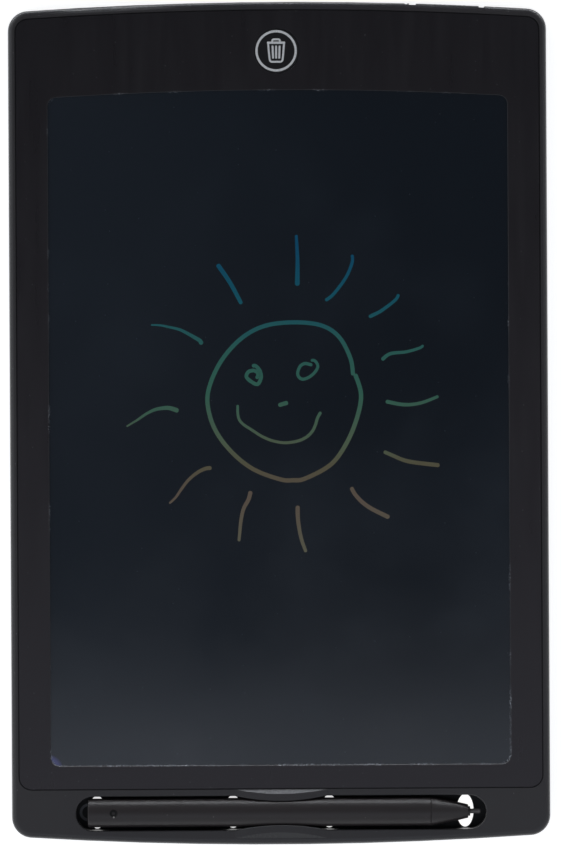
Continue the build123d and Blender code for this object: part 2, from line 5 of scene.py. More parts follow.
import bpy
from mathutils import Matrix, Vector


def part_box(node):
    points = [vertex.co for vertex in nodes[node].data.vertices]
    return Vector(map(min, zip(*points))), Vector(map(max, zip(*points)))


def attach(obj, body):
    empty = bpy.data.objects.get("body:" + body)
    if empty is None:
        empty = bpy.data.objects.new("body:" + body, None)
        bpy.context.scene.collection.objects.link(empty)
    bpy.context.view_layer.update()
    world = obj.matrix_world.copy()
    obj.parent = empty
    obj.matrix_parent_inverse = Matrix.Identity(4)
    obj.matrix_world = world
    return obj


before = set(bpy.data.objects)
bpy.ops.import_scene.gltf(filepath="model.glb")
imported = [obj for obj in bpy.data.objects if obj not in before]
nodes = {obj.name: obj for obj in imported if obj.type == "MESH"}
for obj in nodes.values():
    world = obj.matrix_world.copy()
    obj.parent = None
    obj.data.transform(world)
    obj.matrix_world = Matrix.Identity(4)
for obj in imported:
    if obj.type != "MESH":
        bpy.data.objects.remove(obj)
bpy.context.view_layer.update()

mm = 0.001
print("frame loaded,", len(nodes), "nodes")


def linear(hexColour):
    # An sRGB hex colour as the linear values that the shaders mix
    shares = [int(hexColour[i:i + 2], 16) / 255 for i in (1, 3, 5)]
    return [s / 12.92 if s <= 0.04045 else ((s + 0.055) / 1.055) ** 2.4 for s in shares] + [1.0]


def per(sizeMm):
    # A texture's scale, so that its features are about sizeMm millimetres apart
    return 1 / (sizeMm * mm)


def addNode(tree, kind, settings=None, inputs=None):
    # Adds a node with its settings, and its inputs as plain values or as the sockets that feed them
    node = tree.nodes.new(kind)
    for name, value in (settings or {}).items():
        setattr(node, name, value)
    for name, value in (inputs or {}).items():
        if isinstance(value, bpy.types.NodeSocket):
            tree.links.new(value, node.inputs[name])
        else:
            node.inputs[name].default_value = value
    return node


def joined(tree, operation, first, second):
    # The outcome of two numbers put through one Math node
    return addNode(tree, "ShaderNodeMath", {"operation": operation}, {0: first, 1: second}).outputs[0]


def startMaterial(name):
    material = bpy.data.materials.new(name)
    material.use_nodes = True
    tree = material.node_tree
    tree.nodes.clear()
    shader = addNode(tree, "ShaderNodeBsdfPrincipled")
    addNode(tree, "ShaderNodeOutputMaterial", inputs={"Surface": shader.outputs[0]})
    place = addNode(tree, "ShaderNodeTexCoord")
    return material, tree, shader, place


def paint(material, *names):
    for name in names:
        nodes[name].data.materials[0] = material


# Moulded plastics

# In each look the last two entries set the painted shade in corners and recesses: its reach and colour
frameLook = {
    "colour": "#343234", "edge": "#3b3b3d", "cloud": "#373537", "roughness": 0.36, "edgeRoughness": 0.22,
    "grainMm": 0.45, "grainDepthMm": 0.012, "wearMm": 5.0, "dustMm": 7.0, "dust": "#7d7f80",
    "recessShadeMm": 0.7, "recessShade": "#0b0a0b",
}
coverLook = {
    "colour": "#131315", "edge": "#26282a", "cloud": "#18181a", "roughness": 0.5, "edgeRoughness": 0.4,
    "grainMm": 0.6, "grainDepthMm": 0.03, "wearMm": 6.0, "dustMm": 9.0, "dust": "#747677",
    "recessShadeMm": 2.5, "recessShade": "#060607",
}
stylusLook = {
    "colour": "#2a2526", "edge": "#2b2728", "cloud": "#2d2829", "roughness": 0.42, "edgeRoughness": 0.4,
    "grainMm": 0.4, "grainDepthMm": 0.014, "wearMm": 3.0, "dustMm": 6.0, "dust": "#6e6a68",
    "recessShadeMm": 0.7, "recessShade": "#0b0a0b",
}
sliderLook = {
    "colour": "#202224", "edge": "#3d4143", "cloud": "#26282a", "roughness": 0.42, "edgeRoughness": 0.33,
    "grainMm": 0.35, "grainDepthMm": 0.012, "wearMm": 1.5, "dustMm": 5.0, "dust": "#7d7f80",
    "recessShadeMm": 0.5, "recessShade": "#0b0a0b",
}

# Marks placed by millimetres in plan: x, y, inner and outer radius and softness. The lips' slopes,
# the ring in the tail's dimple and the spot on the stylus's mark are painted highlights; the tray
# floor and the dark ring round the stylus's mark are painted shade
lipSlopeHighlight = {"from": 7.05, "to": 7.3, "colour": "#757577"}
trayFloor = {"y": -104.9, "half": 4.8, "colour": "#0f1115", "sheen": 0.35}
dimpleRimHighlight = {"ring": (-52.07, -104.9, 1.75, 2.3, 0.15), "colour": "#8b8d92"}
markShade = {"ring": (-45.05, -104.7, 0.45, 1.02, 0.12), "colour": "#0c0c0d", "sheen": 0.3}
markHighlight = {"ring": (-45.0, -105.7, 0.0, 0.18, 0.12), "colour": "#9a9793"}


def mouldedPlastic(name, look):
    # ABS from a spark-eroded mould: a fine grain breaks up the gloss, rounded edges are rubbed paler
    # and smoother than the flats, and corners and small recesses are darkened by occlusion as painted shade
    material, tree, shader, place = startMaterial(name)
    at = place.outputs["Object"]
    facing = addNode(tree, "ShaderNodeSeparateXYZ", inputs={0: place.outputs["Normal"]})
    flatness = addNode(tree, "ShaderNodeMath", {"operation": "ABSOLUTE"}, {0: facing.outputs["Z"]})
    rounded = addNode(tree, "ShaderNodeValToRGB", inputs={0: flatness.outputs[0]})
    ramp = rounded.color_ramp
    ramp.elements[0].position = 0.08
    ramp.elements[0].color = linear("#000000")
    ramp.elements[1].position = 0.98
    ramp.elements[1].color = linear("#000000")
    ramp.elements.new(0.3).color = linear("#ffffff")
    ramp.elements.new(0.86).color = linear("#ffffff")
    rubbed = addNode(tree, "ShaderNodeTexNoise",
                     inputs={"Vector": at, "Scale": per(look["wearMm"]), "Detail": 4.0, "Roughness": 0.65})
    worn = addNode(tree, "ShaderNodeMapRange", {"interpolation_type": "SMOOTHSTEP"},
                   {0: rubbed.outputs[0], 1: 0.38, 2: 0.7, 3: 0.65, 4: 1.0})
    edge = joined(tree, "MULTIPLY", rounded.outputs[0], worn.outputs[0])
    clouds = addNode(tree, "ShaderNodeTexNoise",
                     inputs={"Vector": at, "Scale": per(28.0), "Detail": 3.0, "Roughness": 0.5})
    body = addNode(tree, "ShaderNodeMix", {"data_type": "RGBA"},
                   {0: clouds.outputs[0], 6: linear(look["colour"]), 7: linear(look["cloud"])})
    rim = addNode(tree, "ShaderNodeMix", {"data_type": "RGBA"},
                  {0: edge, 6: body.outputs[2], 7: linear(look["edge"])})
    # Painted shade: the colour darkens where ambient occlusion finds nearby surfaces
    closeness = addNode(tree, "ShaderNodeAmbientOcclusion", {"samples": 4, "only_local": True},
                        {"Distance": look["recessShadeMm"] * mm})
    recessShadeShare = addNode(tree, "ShaderNodeMapRange",
                      inputs={0: closeness.outputs["AO"], 1: 0.9, 2: 0.45, 3: 0.0, 4: 0.75})
    recessShaded = addNode(tree, "ShaderNodeMix", {"data_type": "RGBA"},
                    {0: recessShadeShare.outputs[0], 6: rim.outputs[2], 7: linear(look["recessShade"])})
    specks = dustMask(tree, at, facing, look["dustMm"])
    colour = addNode(tree, "ShaderNodeMix", {"data_type": "RGBA"},
                     {0: specks, 6: recessShaded.outputs[2], 7: linear(look["dust"])})
    grain = addNode(tree, "ShaderNodeTexNoise",
                    inputs={"Vector": at, "Scale": per(look["grainMm"]), "Detail": 2.0, "Roughness": 0.6})
    flatRoughness = addNode(tree, "ShaderNodeMapRange",
                            inputs={0: grain.outputs[0], 1: 0.3, 2: 0.7,
                                    3: look["roughness"] - 0.04, 4: look["roughness"] + 0.06})
    roughness = addNode(tree, "ShaderNodeMix", {"data_type": "FLOAT"},
                        {0: edge, 2: flatRoughness.outputs[0], 3: look["edgeRoughness"]})
    depth = look["grainDepthMm"] * mm
    bump = addNode(tree, "ShaderNodeBump",
                   inputs={"Strength": 0.6, "Distance": depth, "Height": grain.outputs[0]})
    tree.links.new(colour.outputs[2], shader.inputs["Base Color"])
    tree.links.new(roughness.outputs[0], shader.inputs["Roughness"])
    tree.links.new(bump.outputs[0], shader.inputs["Normal"])
    shader.inputs["IOR"].default_value = 1.52
    return material


def dustMask(tree, at, facing, spacingMm):
    # Single grains of dust, under a quarter of a millimetre, on what faces up
    cells = addNode(tree, "ShaderNodeTexVoronoi", {"voronoi_dimensions": "2D", "feature": "F1"},
                    {"Vector": at, "Scale": per(spacingMm), "Randomness": 1.0})
    near = joined(tree, "LESS_THAN", cells.outputs["Distance"], 0.14 / spacingMm)
    pick = addNode(tree, "ShaderNodeSeparateColor", inputs={0: cells.outputs["Color"]})
    kept = addNode(tree, "ShaderNodeMapRange", inputs={0: pick.outputs[0], 1: 0.4, 2: 1.0, 3: 0.0, 4: 0.7})
    upwards = joined(tree, "GREATER_THAN", facing.outputs["Z"], 0.9)
    speck = joined(tree, "MULTIPLY", near, kept.outputs[0])
    return joined(tree, "MULTIPLY", speck, upwards)


# The gloss level at which a surface reflects just what its refraction index says
plainSheen = 0.5


def overlay(material, mask, hexColour):
    # Lays one more colour over what a material has so far, where its mask says
    tree = material.node_tree
    shader = next(node for node in tree.nodes if node.type == "BSDF_PRINCIPLED")
    under = shader.inputs["Base Color"].links[0].from_socket
    mixed = addNode(tree, "ShaderNodeMix", {"data_type": "RGBA"}, {0: mask, 6: under, 7: linear(hexColour)})
    tree.links.new(mixed.outputs[2], shader.inputs["Base Color"])


def dull(material, mask, sheen):
    # Takes gloss off under a mask, as dirt and a deep grain do
    tree = material.node_tree
    shader = next(node for node in tree.nodes if node.type == "BSDF_PRINCIPLED")
    level = addNode(tree, "ShaderNodeMapRange", inputs={0: mask, 3: plainSheen, 4: sheen})
    tree.links.new(level.outputs[0], shader.inputs["Specular IOR Level"])


def ringMask(material, x, y, innerMm, outerMm, softMm):
    # A soft ring seen from above, or a disc if it has no inner radius
    tree = material.node_tree
    place = addNode(tree, "ShaderNodeTexCoord")
    flat = addNode(tree, "ShaderNodeVectorMath", {"operation": "MULTIPLY"},
                   {0: place.outputs["Object"], 1: (1.0, 1.0, 0.0)})
    distance = addNode(tree, "ShaderNodeVectorMath", {"operation": "DISTANCE"},
                       {0: flat.outputs[0], 1: (x * mm, y * mm, 0.0)})
    within = addNode(tree, "ShaderNodeMapRange",
                     inputs={0: distance.outputs["Value"], 1: outerMm * mm, 2: (outerMm + softMm) * mm,
                             3: 1.0, 4: 0.0})
    beyond = addNode(tree, "ShaderNodeMapRange",
                     inputs={0: distance.outputs["Value"], 1: (innerMm - softMm) * mm, 2: innerMm * mm})
    return joined(tree, "MULTIPLY", within.outputs[0], beyond.outputs[0])


def surfacePoint(tree):
    # Where a point of the surface lies and which way it faces, axis by axis
    place = addNode(tree, "ShaderNodeTexCoord")
    where = addNode(tree, "ShaderNodeSeparateXYZ", inputs={0: place.outputs["Object"]})
    facing = addNode(tree, "ShaderNodeSeparateXYZ", inputs={0: place.outputs["Normal"]})
    return where, facing


def paintLipHighlight(material, look):
    # The two lips stand proud of the frame; their slopes facing the top end get a painted highlight
    tree = material.node_tree
    where, facing = surfacePoint(tree)
    proud = addNode(tree, "ShaderNodeMapRange",
                    inputs={0: where.outputs["Z"], 1: look["from"] * mm, 2: look["to"] * mm})
    slope = addNode(tree, "ShaderNodeMapRange", inputs={0: facing.outputs["Y"], 1: 0.2, 2: 0.4})
    both = joined(tree, "MULTIPLY", proud.outputs[0], slope.outputs[0])
    overlay(material, both, look["colour"])


def trayShadeAndMatt(material, look):
    # The floor of the stylus's tray gets painted shade for its deep slot, and a matt grain lowers its gloss
    tree = material.node_tree
    where, facing = surfacePoint(tree)
    off = joined(tree, "SUBTRACT", where.outputs["Y"], look["y"] * mm)
    apart = addNode(tree, "ShaderNodeMath", {"operation": "ABSOLUTE"}, {0: off})
    inside = joined(tree, "LESS_THAN", apart.outputs[0], look["half"] * mm)
    upwards = joined(tree, "GREATER_THAN", facing.outputs["Z"], 0.5)
    both = joined(tree, "MULTIPLY", inside, upwards)
    # Painted shade: the tray floor's colour is darkened
    overlay(material, both, look["colour"])
    dull(material, both, look["sheen"])


framePlastic = mouldedPlastic("moulded_abs_frame", frameLook)
coverPlastic = mouldedPlastic("moulded_abs_cover", coverLook)
stylusPlastic = mouldedPlastic("moulded_abs_stylus", stylusLook)
sliderPlastic = mouldedPlastic("moulded_abs_slider", sliderLook)
# Painted highlight on the lips' slopes that face the top end
paintLipHighlight(framePlastic, lipSlopeHighlight)
trayShadeAndMatt(coverPlastic, trayFloor)
# Painted highlight: a pale ring on the bevel of the dimple under the stylus's tail
overlay(coverPlastic, ringMask(coverPlastic, *dimpleRimHighlight["ring"]), dimpleRimHighlight["colour"])
# Painted shade: a dark ring round the mark at the stylus's tail, with its gloss lowered
markShadeRing = ringMask(stylusPlastic, *markShade["ring"])
overlay(stylusPlastic, markShadeRing, markShade["colour"])
dull(stylusPlastic, markShadeRing, markShade["sheen"])
# Painted highlight: a pale spot on the lower rim of the stylus's mark
overlay(stylusPlastic, ringMask(stylusPlastic, *markHighlight["ring"]), markHighlight["colour"])
paint(framePlastic, "front_frame")
paint(coverPlastic, "rear_cover", "battery_door")
paint(stylusPlastic, "stylus_barrel", "stylus_tail_plug", "stylus_nose")
paint(sliderPlastic, "lock_slider")
print("moulded plastics done")


# Printed bezel sheet

bezelLook = {
    "top": "#1a171c", "bottom": "#241f25", "cut": "#3a3b3e", "roughness": 0.29, "peelMm": 2.2,
    "edgeGlintMm": 0.5, "dustMm": 6.0, "dust": "#6d6f70", "scratchMm": 3.0, "cutSheen": 0.36,
}
windowEdge = {
    "middle": (0.0, -1.15), "half": (61.9, 90.85), "corner": 3.0, "bow": 1052.5, "bowed": (-40.0, 80.0),
    "spreadMm": 0.38, "gritMm": 0.4, "patchMm": 8.0, "dense": (-90.0, -70.0), "lint": "#b9bec6",
}


def edgeGrit(material, look):
    # Grit and lint gather in broken lines where the printed sheet is cut out for the screen, most of
    # them along the lower edge. The upper edge is bowed like the case.
    tree = material.node_tree
    place = addNode(tree, "ShaderNodeTexCoord")
    at = place.outputs["Object"]
    middle = [value * mm for value in look["middle"]] + [0.0]
    straight = [(value - look["corner"]) * mm for value in look["half"]] + [1.0]
    plan = addNode(tree, "ShaderNodeSeparateXYZ", inputs={0: at})
    squared = joined(tree, "MULTIPLY", plan.outputs["X"], plan.outputs["X"])
    start, stop = [value * mm for value in look["bowed"]]
    bow = addNode(tree, "ShaderNodeMapRange",
                  inputs={0: plan.outputs["Y"], 1: start, 2: stop, 3: 0.0, 4: 1 / (2 * look["bow"] * mm)})
    rise = addNode(tree, "ShaderNodeMath", {"operation": "MULTIPLY_ADD"},
                   {0: squared, 1: bow.outputs[0], 2: plan.outputs["Y"]})
    unbowed = addNode(tree, "ShaderNodeCombineXYZ", inputs={"X": plan.outputs["X"], "Y": rise.outputs[0]})
    offset = addNode(tree, "ShaderNodeVectorMath", {"operation": "SUBTRACT"},
                     {0: unbowed.outputs[0], 1: middle})
    folded = addNode(tree, "ShaderNodeVectorMath", {"operation": "ABSOLUTE"}, {0: offset.outputs[0]})
    past = addNode(tree, "ShaderNodeVectorMath", {"operation": "SUBTRACT"},
                   {0: folded.outputs[0], 1: straight})
    outside = addNode(tree, "ShaderNodeVectorMath", {"operation": "MAXIMUM"},
                      {0: past.outputs[0], 1: (0, 0, 0)})
    reach = addNode(tree, "ShaderNodeVectorMath", {"operation": "LENGTH"}, {0: outside.outputs[0]})
    apart = joined(tree, "SUBTRACT", reach.outputs["Value"], look["corner"] * mm)
    distance = addNode(tree, "ShaderNodeMath", {"operation": "ABSOLUTE"}, {0: apart})
    near = addNode(tree, "ShaderNodeMapRange",
                   inputs={0: distance.outputs[0], 1: 0.0, 2: look["spreadMm"] * mm, 3: 1.0, 4: 0.0})
    foot, clear = [value * mm for value in look["dense"]]
    lower = addNode(tree, "ShaderNodeMapRange",
                    inputs={0: plan.outputs["Y"], 1: foot, 2: clear, 3: -0.05, 4: 0.15})
    patches = addNode(tree, "ShaderNodeTexNoise",
                      inputs={"Vector": at, "Scale": per(look["patchMm"]), "Detail": 2.0})
    spread = joined(tree, "SUBTRACT", patches.outputs[0], lower.outputs[0])
    group = addNode(tree, "ShaderNodeMapRange", inputs={0: spread, 1: 0.4, 2: 0.6})
    fine = addNode(tree, "ShaderNodeTexNoise",
                   inputs={"Vector": at, "Scale": per(look["gritMm"]), "Detail": 2.0, "Roughness": 0.7})
    grains = addNode(tree, "ShaderNodeMapRange", inputs={0: fine.outputs[0], 1: 0.5, 2: 0.62})
    pair = joined(tree, "MULTIPLY", near.outputs[0], group.outputs[0])
    grit = joined(tree, "MULTIPLY", pair, grains.outputs[0])
    overlay(material, grit, look["lint"])


def printedFilm(name, look):
    # Polyester film printed black on its back: a satin painted lighter towards the bottom as a painted
    # reflection, with hairline scuffs, dust and a die-cut edge painted lighter in places: a painted highlight
    material, tree, shader, place = startMaterial(name)
    at = place.outputs["Object"]
    facing = addNode(tree, "ShaderNodeSeparateXYZ", inputs={0: place.outputs["Normal"]})
    height = addNode(tree, "ShaderNodeSeparateXYZ", inputs={0: at})
    low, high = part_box("bezel_sheet")
    # Painted reflection: the ink is painted lighter towards the bottom of the sheet
    share = addNode(tree, "ShaderNodeMapRange", inputs={0: height.outputs["Y"], 1: low.y, 2: high.y})
    ink = addNode(tree, "ShaderNodeMix", {"data_type": "RGBA"},
                  {0: share.outputs[0], 6: linear(look["bottom"]), 7: linear(look["top"])})
    cutEdge = joined(tree, "LESS_THAN", facing.outputs["Z"], 0.95)
    # Painted highlight: the die-cut edge walls are painted lighter in patches
    edgeGlintNoise = addNode(tree, "ShaderNodeTexNoise",
                     inputs={"Vector": at, "Scale": per(look["edgeGlintMm"]), "Detail": 5.0, "Roughness": 0.7})
    edgeGlintShare = addNode(tree, "ShaderNodeMapRange",
                    inputs={0: edgeGlintNoise.outputs[0], 1: 0.47, 2: 0.68, 3: 0.12, 4: 1.0})
    edge = joined(tree, "MULTIPLY", cutEdge, edgeGlintShare.outputs[0])
    cut = addNode(tree, "ShaderNodeMix", {"data_type": "RGBA"},
                  {0: edge, 6: ink.outputs[2], 7: linear(look["cut"])})
    specks = dustMask(tree, at, facing, look["dustMm"])
    colour = addNode(tree, "ShaderNodeMix", {"data_type": "RGBA"},
                     {0: specks, 6: cut.outputs[2], 7: linear(look["dust"])})
    stretch = addNode(tree, "ShaderNodeMapping", inputs={"Vector": at, "Scale": (1.0, 0.12, 1.0)})
    hairs = addNode(tree, "ShaderNodeTexNoise",
                    inputs={"Vector": stretch.outputs[0], "Scale": per(look["scratchMm"]), "Detail": 6.0})
    roughness = addNode(tree, "ShaderNodeMapRange",
                        inputs={0: hairs.outputs[0], 1: 0.3, 2: 0.75,
                                3: look["roughness"] - 0.02, 4: look["roughness"] + 0.05})
    peel = addNode(tree, "ShaderNodeTexNoise",
                   inputs={"Vector": at, "Scale": per(look["peelMm"]), "Detail": 1.0})
    bump = addNode(tree, "ShaderNodeBump",
                   inputs={"Strength": 0.35, "Distance": 0.004 * mm, "Height": peel.outputs[0]})
    tree.links.new(colour.outputs[2], shader.inputs["Base Color"])
    tree.links.new(roughness.outputs[0], shader.inputs["Roughness"])
    tree.links.new(bump.outputs[0], shader.inputs["Normal"])
    dull(material, cutEdge, look["cutSheen"])
    shader.inputs["IOR"].default_value = 1.6
    return material


bezelFilm = printedFilm("printed_polyester_film", bezelLook)
edgeGrit(bezelFilm, windowEdge)
paint(bezelFilm, "bezel_sheet")


# Writing film and the trace that the nib leaves in it

filmLook = {
    "left": "#1e2630", "right": "#0f1924", "smudge": "#242e39", "roughness": 0.12, "smudgeMm": 45.0,
    "rippleMm": 14.0, "dustMm": 9.0, "dust": "#4c5258",
}
traceLook = {
    "colours": ("#77745f", "#79695b", "#716b53", "#677960", "#447b68", "#3a776d", "#1a6b7c", "#0e5c7f"),
    "heights": (-34.0, -20.0, -11.0, -5.0, 8.0, 20.0, 33.0, 48.0), "bleed": 1.12,
}


def writingFilm(name, look):
    # Cholesteric liquid crystal between clear films: a deep blue-grey that clouds slightly across the
    # sheet, under a smooth hard coat with faint hand smudges, and is painted lighter towards the left as a
    # painted reflection
    material, tree, shader, place = startMaterial(name)
    at = place.outputs["Object"]
    facing = addNode(tree, "ShaderNodeSeparateXYZ", inputs={0: place.outputs["Normal"]})
    where = addNode(tree, "ShaderNodeSeparateXYZ", inputs={0: at})
    low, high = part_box("lcd_film")
    # Painted reflection: the film is painted lighter towards the left
    across = addNode(tree, "ShaderNodeMapRange", {"interpolation_type": "SMOOTHSTEP"},
                     {0: where.outputs["X"], 1: low.x, 2: high.x * 0.6})
    base = addNode(tree, "ShaderNodeMix", {"data_type": "RGBA"},
                   {0: across.outputs[0], 6: linear(look["left"]), 7: linear(look["right"])})
    cloud = addNode(tree, "ShaderNodeTexNoise",
                    inputs={"Vector": at, "Scale": per(look["smudgeMm"]), "Detail": 4.0, "Roughness": 0.55})
    cloudShare = addNode(tree, "ShaderNodeMapRange",
                         inputs={0: cloud.outputs[0], 1: 0.5, 2: 0.85, 3: 0.0, 4: 0.5})
    clouded = addNode(tree, "ShaderNodeMix", {"data_type": "RGBA"},
                      {0: cloudShare.outputs[0], 6: base.outputs[2], 7: linear(look["smudge"])})
    specks = dustMask(tree, at, facing, look["dustMm"])
    colour = addNode(tree, "ShaderNodeMix", {"data_type": "RGBA"},
                     {0: specks, 6: clouded.outputs[2], 7: linear(look["dust"])})
    roughness = addNode(tree, "ShaderNodeMapRange",
                        inputs={0: cloud.outputs[0], 1: 0.3, 2: 0.8,
                                3: look["roughness"] - 0.02, 4: look["roughness"] + 0.06})
    ripple = addNode(tree, "ShaderNodeTexNoise",
                     inputs={"Vector": at, "Scale": per(look["rippleMm"]), "Detail": 1.0})
    bump = addNode(tree, "ShaderNodeBump",
                   inputs={"Strength": 0.25, "Distance": 0.01 * mm, "Height": ripple.outputs[0]})
    tree.links.new(colour.outputs[2], shader.inputs["Base Color"])
    tree.links.new(roughness.outputs[0], shader.inputs["Roughness"])
    tree.links.new(bump.outputs[0], shader.inputs["Normal"])
    shader.inputs["IOR"].default_value = 1.75
    return material


def crystalTrace(name, look):
    # Where the nib pressed, the crystal reflects one colour, which shifts with its place on the sheet
    # from blue at the top through green to brown
    material, tree, shader, place = startMaterial(name)
    at = place.outputs["Object"]
    where = addNode(tree, "ShaderNodeSeparateXYZ", inputs={0: at})
    low, high = look["heights"][0] * mm, look["heights"][-1] * mm
    waver = addNode(tree, "ShaderNodeTexNoise", inputs={"Vector": at, "Scale": per(9.0), "Detail": 2.0})
    shift = addNode(tree, "ShaderNodeMapRange", inputs={0: waver.outputs[0], 3: -2.5 * mm, 4: 2.5 * mm})
    moved = joined(tree, "ADD", where.outputs["Y"], shift.outputs[0])
    share = addNode(tree, "ShaderNodeMapRange", inputs={0: moved, 1: low, 2: high})
    hue = addNode(tree, "ShaderNodeValToRGB", inputs={0: share.outputs[0]})
    ramp = hue.color_ramp
    ramp.elements[0].color = linear(look["colours"][0])
    ramp.elements[1].color = linear(look["colours"][-1])
    for height, hexColour in zip(look["heights"][1:-1], look["colours"][1:-1]):
        ramp.elements.new((height * mm - low) / (high - low)).color = linear(hexColour)
    fine = addNode(tree, "ShaderNodeTexNoise", inputs={"Vector": at, "Scale": per(0.5), "Detail": 2.0})
    roughness = addNode(tree, "ShaderNodeMapRange", inputs={0: fine.outputs[0], 3: 0.15, 4: 0.24})
    bump = addNode(tree, "ShaderNodeBump",
                   inputs={"Strength": 0.2, "Distance": 0.004 * mm, "Height": fine.outputs[0]})
    tree.links.new(hue.outputs[0], shader.inputs["Base Color"])
    tree.links.new(roughness.outputs[0], shader.inputs["Roughness"])
    tree.links.new(bump.outputs[0], shader.inputs["Normal"])
    return material


# The clamped corner shows a breath of violet, where the crystal is squeezed
clampedCorner = {"ring": (-63.2, -93.4, 0.0, 3.7, 1.1), "colour": "#51548c"}
screenFilm = writingFilm("liquid_crystal_film", filmLook)
overlay(screenFilm, ringMask(screenFilm, *clampedCorner["ring"]), clampedCorner["colour"])
edgeGrit(screenFilm, windowEdge)
paint(screenFilm, "lcd_film")
traceColour = crystalTrace("liquid_crystal_trace", traceLook)
print("films done")


# Strokes: flat ribbons along drawn lines, used for the drawing on the screen and the button's print

def strokeTree():
    # Resamples each line, narrows it to a round end over its last half width, and sweeps a flat strip
    tree = bpy.data.node_groups.new("flat_strokes", "GeometryNodeTree")
    sockets = tree.interface
    sockets.new_socket("Lines", in_out="INPUT", socket_type="NodeSocketGeometry")
    sockets.new_socket("Step", in_out="INPUT", socket_type="NodeSocketFloat")
    sockets.new_socket("Flatness", in_out="INPUT", socket_type="NodeSocketFloat")
    sockets.new_socket("Finish", in_out="INPUT", socket_type="NodeSocketMaterial")
    sockets.new_socket("Ribbons", in_out="OUTPUT", socket_type="NodeSocketGeometry")
    given = addNode(tree, "NodeGroupInput")
    smooth = addNode(tree, "GeometryNodeCurveSplineType", {"spline_type": "CATMULL_ROM"},
                     {"Curve": given.outputs["Lines"]})
    fine = addNode(tree, "GeometryNodeResampleCurve", {"mode": "LENGTH"},
                   {"Curve": smooth.outputs[0], "Length": given.outputs["Step"]})
    along = addNode(tree, "GeometryNodeSplineParameter")
    whole = addNode(tree, "GeometryNodeSplineLength")
    left = joined(tree, "SUBTRACT", whole.outputs["Length"], along.outputs["Length"])
    nearest = joined(tree, "MINIMUM", left, along.outputs["Length"])
    radius = addNode(tree, "GeometryNodeInputRadius")
    inward = addNode(tree, "ShaderNodeMath", {"operation": "DIVIDE", "use_clamp": True},
                     {0: nearest, 1: radius.outputs[0]})
    outward = joined(tree, "SUBTRACT", 1.0, inward.outputs[0])
    squared = joined(tree, "MULTIPLY", outward, outward)
    rest = joined(tree, "SUBTRACT", 1.0001, squared)
    ending = addNode(tree, "ShaderNodeMath", {"operation": "SQRT"}, {0: rest})
    scaled = joined(tree, "MULTIPLY", ending.outputs[0], radius.outputs[0])
    level = addNode(tree, "GeometryNodeSetCurveNormal", {"mode": "Z_UP"}, {"Curve": fine.outputs[0]})
    profile = addNode(tree, "GeometryNodeCurvePrimitiveQuadrilateral",
                      inputs={"Width": 2.0, "Height": given.outputs["Flatness"]})
    ribbon = addNode(tree, "GeometryNodeCurveToMesh",
                     inputs={"Curve": level.outputs[0], "Profile Curve": profile.outputs[0],
                             "Scale": scaled, "Fill Caps": True})
    crisp = addNode(tree, "GeometryNodeSetShadeSmooth",
                    inputs={"Geometry": ribbon.outputs[0], "Shade Smooth": False})
    real = addNode(tree, "GeometryNodeRealizeInstances", inputs={0: crisp.outputs[0]})
    finish = addNode(tree, "GeometryNodeSetMaterial",
                     inputs={"Geometry": real.outputs[0], "Material": given.outputs["Finish"]})
    addNode(tree, "NodeGroupOutput", inputs={0: finish.outputs[0]})
    return tree


def runTree(source, tree, values, name):
    # Runs a tree on an object with its inputs set by identifier, and keeps the result as a plain mesh
    modifier = source.modifiers.new("tree", "NODES")
    modifier.node_group = tree
    for item in tree.interface.items_tree:
        if item.in_out == "INPUT" and item.name in values:
            modifier[item.identifier] = values[item.name]
    bpy.context.view_layer.update()
    made = source.evaluated_get(bpy.context.evaluated_depsgraph_get())
    mesh = bpy.data.meshes.new_from_object(made, depsgraph=bpy.context.evaluated_depsgraph_get())
    mesh.name = name
    source.modifiers.remove(modifier)
    bpy.data.objects.remove(source)
    piece = bpy.data.objects.new(name, mesh)
    bpy.context.scene.collection.objects.link(piece)
    return piece


def drawnLines(name, strokes, level):
    # Strokes are lists of (x, y, width) in millimetres, laid at one level
    curve = bpy.data.curves.new(name, "CURVE")
    curve.dimensions = "3D"
    for stroke in strokes:
        spline = curve.splines.new("POLY")
        spline.points.add(len(stroke) - 1)
        for point, (x, y, width) in zip(spline.points, stroke):
            point.co = (x * mm, y * mm, level, 1.0)
            point.radius = width * mm / 2
    lines = bpy.data.objects.new(name + "_lines", curve)
    bpy.context.scene.collection.objects.link(lines)
    return lines


ribbonTree = strokeTree()
traceRibbon = {"Step": 0.12 * mm, "Flatness": 0.04, "Finish": traceColour}
traceLift = 0.012 * mm

